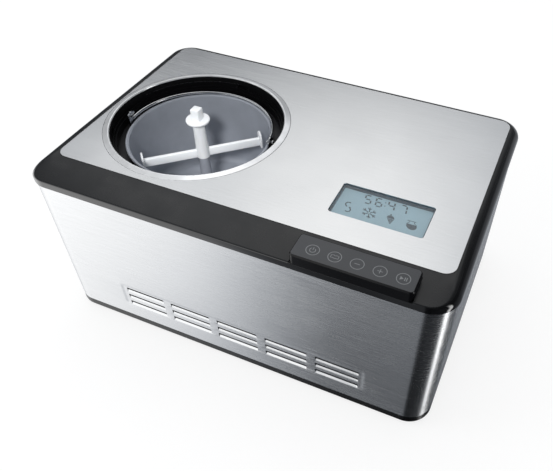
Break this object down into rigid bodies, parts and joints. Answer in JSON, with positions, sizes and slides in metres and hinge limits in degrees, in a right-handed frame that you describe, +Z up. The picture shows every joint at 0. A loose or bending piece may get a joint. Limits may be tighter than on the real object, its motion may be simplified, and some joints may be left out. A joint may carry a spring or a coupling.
{
  "type": "ice cream maker",
  "caption": "Compressor ice cream maker: steel-wrapped box with a cooled well, a lift-out bowl with bail handle and paddle, a display and touch keys.",
  "frame": {"origin": "middle of the cabinet's footprint, on the surface it stands on", "axes": "+X to the right along the front, +Y to the back, +Z up"},
  "size_m": [0.425, 0.285, 0.2057],
  "materials": {
    "base_black": "moulded, matt",
    "foot_rubber": "matt",
    "wrap_steel": "brushed along the width",
    "rear_black": "fine moulded grain",
    "gland_rubber": "matt",
    "frame_black": "satin, gloss on the lip",
    "plate_steel": "brushed along the width",
    "ring_chrome": "polished",
    "collar_black": "satin",
    "seal_rubber": "matt",
    "cup_aluminium": "satin",
    "copper": "drawn copper tube",
    "foam": "cut foam",
    "sensor_metal": "turned",
    "pillar_plastic": "moulded",
    "screw_steel": "zinc plated",
    "screw_black": "blackened",
    "key_gloss": "high gloss",
    "key_film": "satin film",
    "board_green": "solder resist",
    "spring_metal": "plated",
    "window_clear": "clear",
    "bezel_blue": "satin",
    "lcd_blue": "satin",
    "light_white": "diffuse",
    "winding_yellow": "taped winding",
    "relay_blue": "moulded",
    "can_aluminium": "drawn can",
    "compressor_black": "enamel",
    "bracket_zinc": "zinc plated",
    "terminal_grey": "moulded",
    "fin_aluminium": "rolled sheet",
    "fan_black": "moulded",
    "bowl_aluminium": "spun, satin",
    "spindle_aluminium": "turned",
    "ear_steel": "pressed, bright",
    "wire_steel": "polished wire",
    "bush_brass": "turned",
    "paddle_white": "milky, smooth"
  },
  "bodies": {
    "cabinet": {"base_pan": "base_black", "feet": "foot_rubber", "steel_wrap": "wrap_steel", "rear_cover": "rear_black", "cord_gland": "gland_rubber", "top_frame": "frame_black", "top_plate": "plate_steel", "trim_ring": "ring_chrome", "well_collar": "collar_black", "well_seal": "seal_rubber", "well_cup": "cup_aluminium", "cooling_coil": "copper", "foam_jacket": "foam", "temperature_sensor": "sensor_metal", "tie_pillars": "pillar_plastic", "pillar_screws": "screw_steel", "base_screws": "screw_steel", "rear_screws": "screw_black", "key_block": "key_gloss", "key_overlay": "key_film", "touch_board": "board_green", "touch_springs": "spring_metal", "display_window": "window_clear", "display_bezel": "bezel_blue", "lcd_cell": "lcd_blue", "backlight": "light_white", "display_board": "board_green", "power_board": "board_green", "transformer": "winding_yellow", "relay": "relay_blue", "run_capacitor": "can_aluminium", "compressor_lower_shell": "compressor_black", "compressor_upper_shell": "compressor_black", "compressor_plate": "bracket_zinc", "compressor_grommets": "foot_rubber", "compressor_bolts": "screw_steel", "terminal_cover": "terminal_grey", "suction_line": "copper", "discharge_line": "copper", "liquid_line": "copper", "filter_drier": "copper", "capillary_tube": "copper", "condenser_tube": "copper", "condenser_fins": "fin_aluminium", "condenser_brackets": "bracket_zinc", "fan_shroud": "fan_black", "fan_motor": "fan_black", "fan_screws": "screw_steel"},
    "fan": {"fan_impeller": "fan_black"},
    "bowl": {"bowl": "bowl_aluminium", "bowl_spindle": "spindle_aluminium", "bail_ears": "ear_steel"},
    "bail": {"bail_handle": "wire_steel"},
    "bush": {"paddle_bush": "bush_brass"},
    "paddle": {"paddle": "paddle_white", "paddle_blades": "paddle_white"}
  },
  "joints": [
    {"name": "bowl_lift", "type": "slide", "parent": "cabinet", "child": "bowl", "axis": [0, 0, 1], "range_m": [0, 0.16]},
    {"name": "bail_swing", "type": "hinge", "parent": "bowl", "child": "bail", "pos_m": [-0.1026, 0, 0.1805], "axis": [0.9925, 0.1219, 0], "range_deg": [0, 184]},
    {"name": "bush_lift", "type": "slide", "parent": "bowl", "child": "bush", "axis": [0, 0, 1], "range_m": [0, 0.09]},
    {"name": "paddle_spin", "type": "hinge", "parent": "bush", "child": "paddle", "pos_m": [-0.1026, 0, 0.146], "axis": [0, 0, 1], "continuous": true},
    {"name": "fan_spin", "type": "hinge", "parent": "cabinet", "child": "fan", "pos_m": [0.1135, 0.12, 0.071], "axis": [0, 1, 0], "continuous": true}
  ]
}
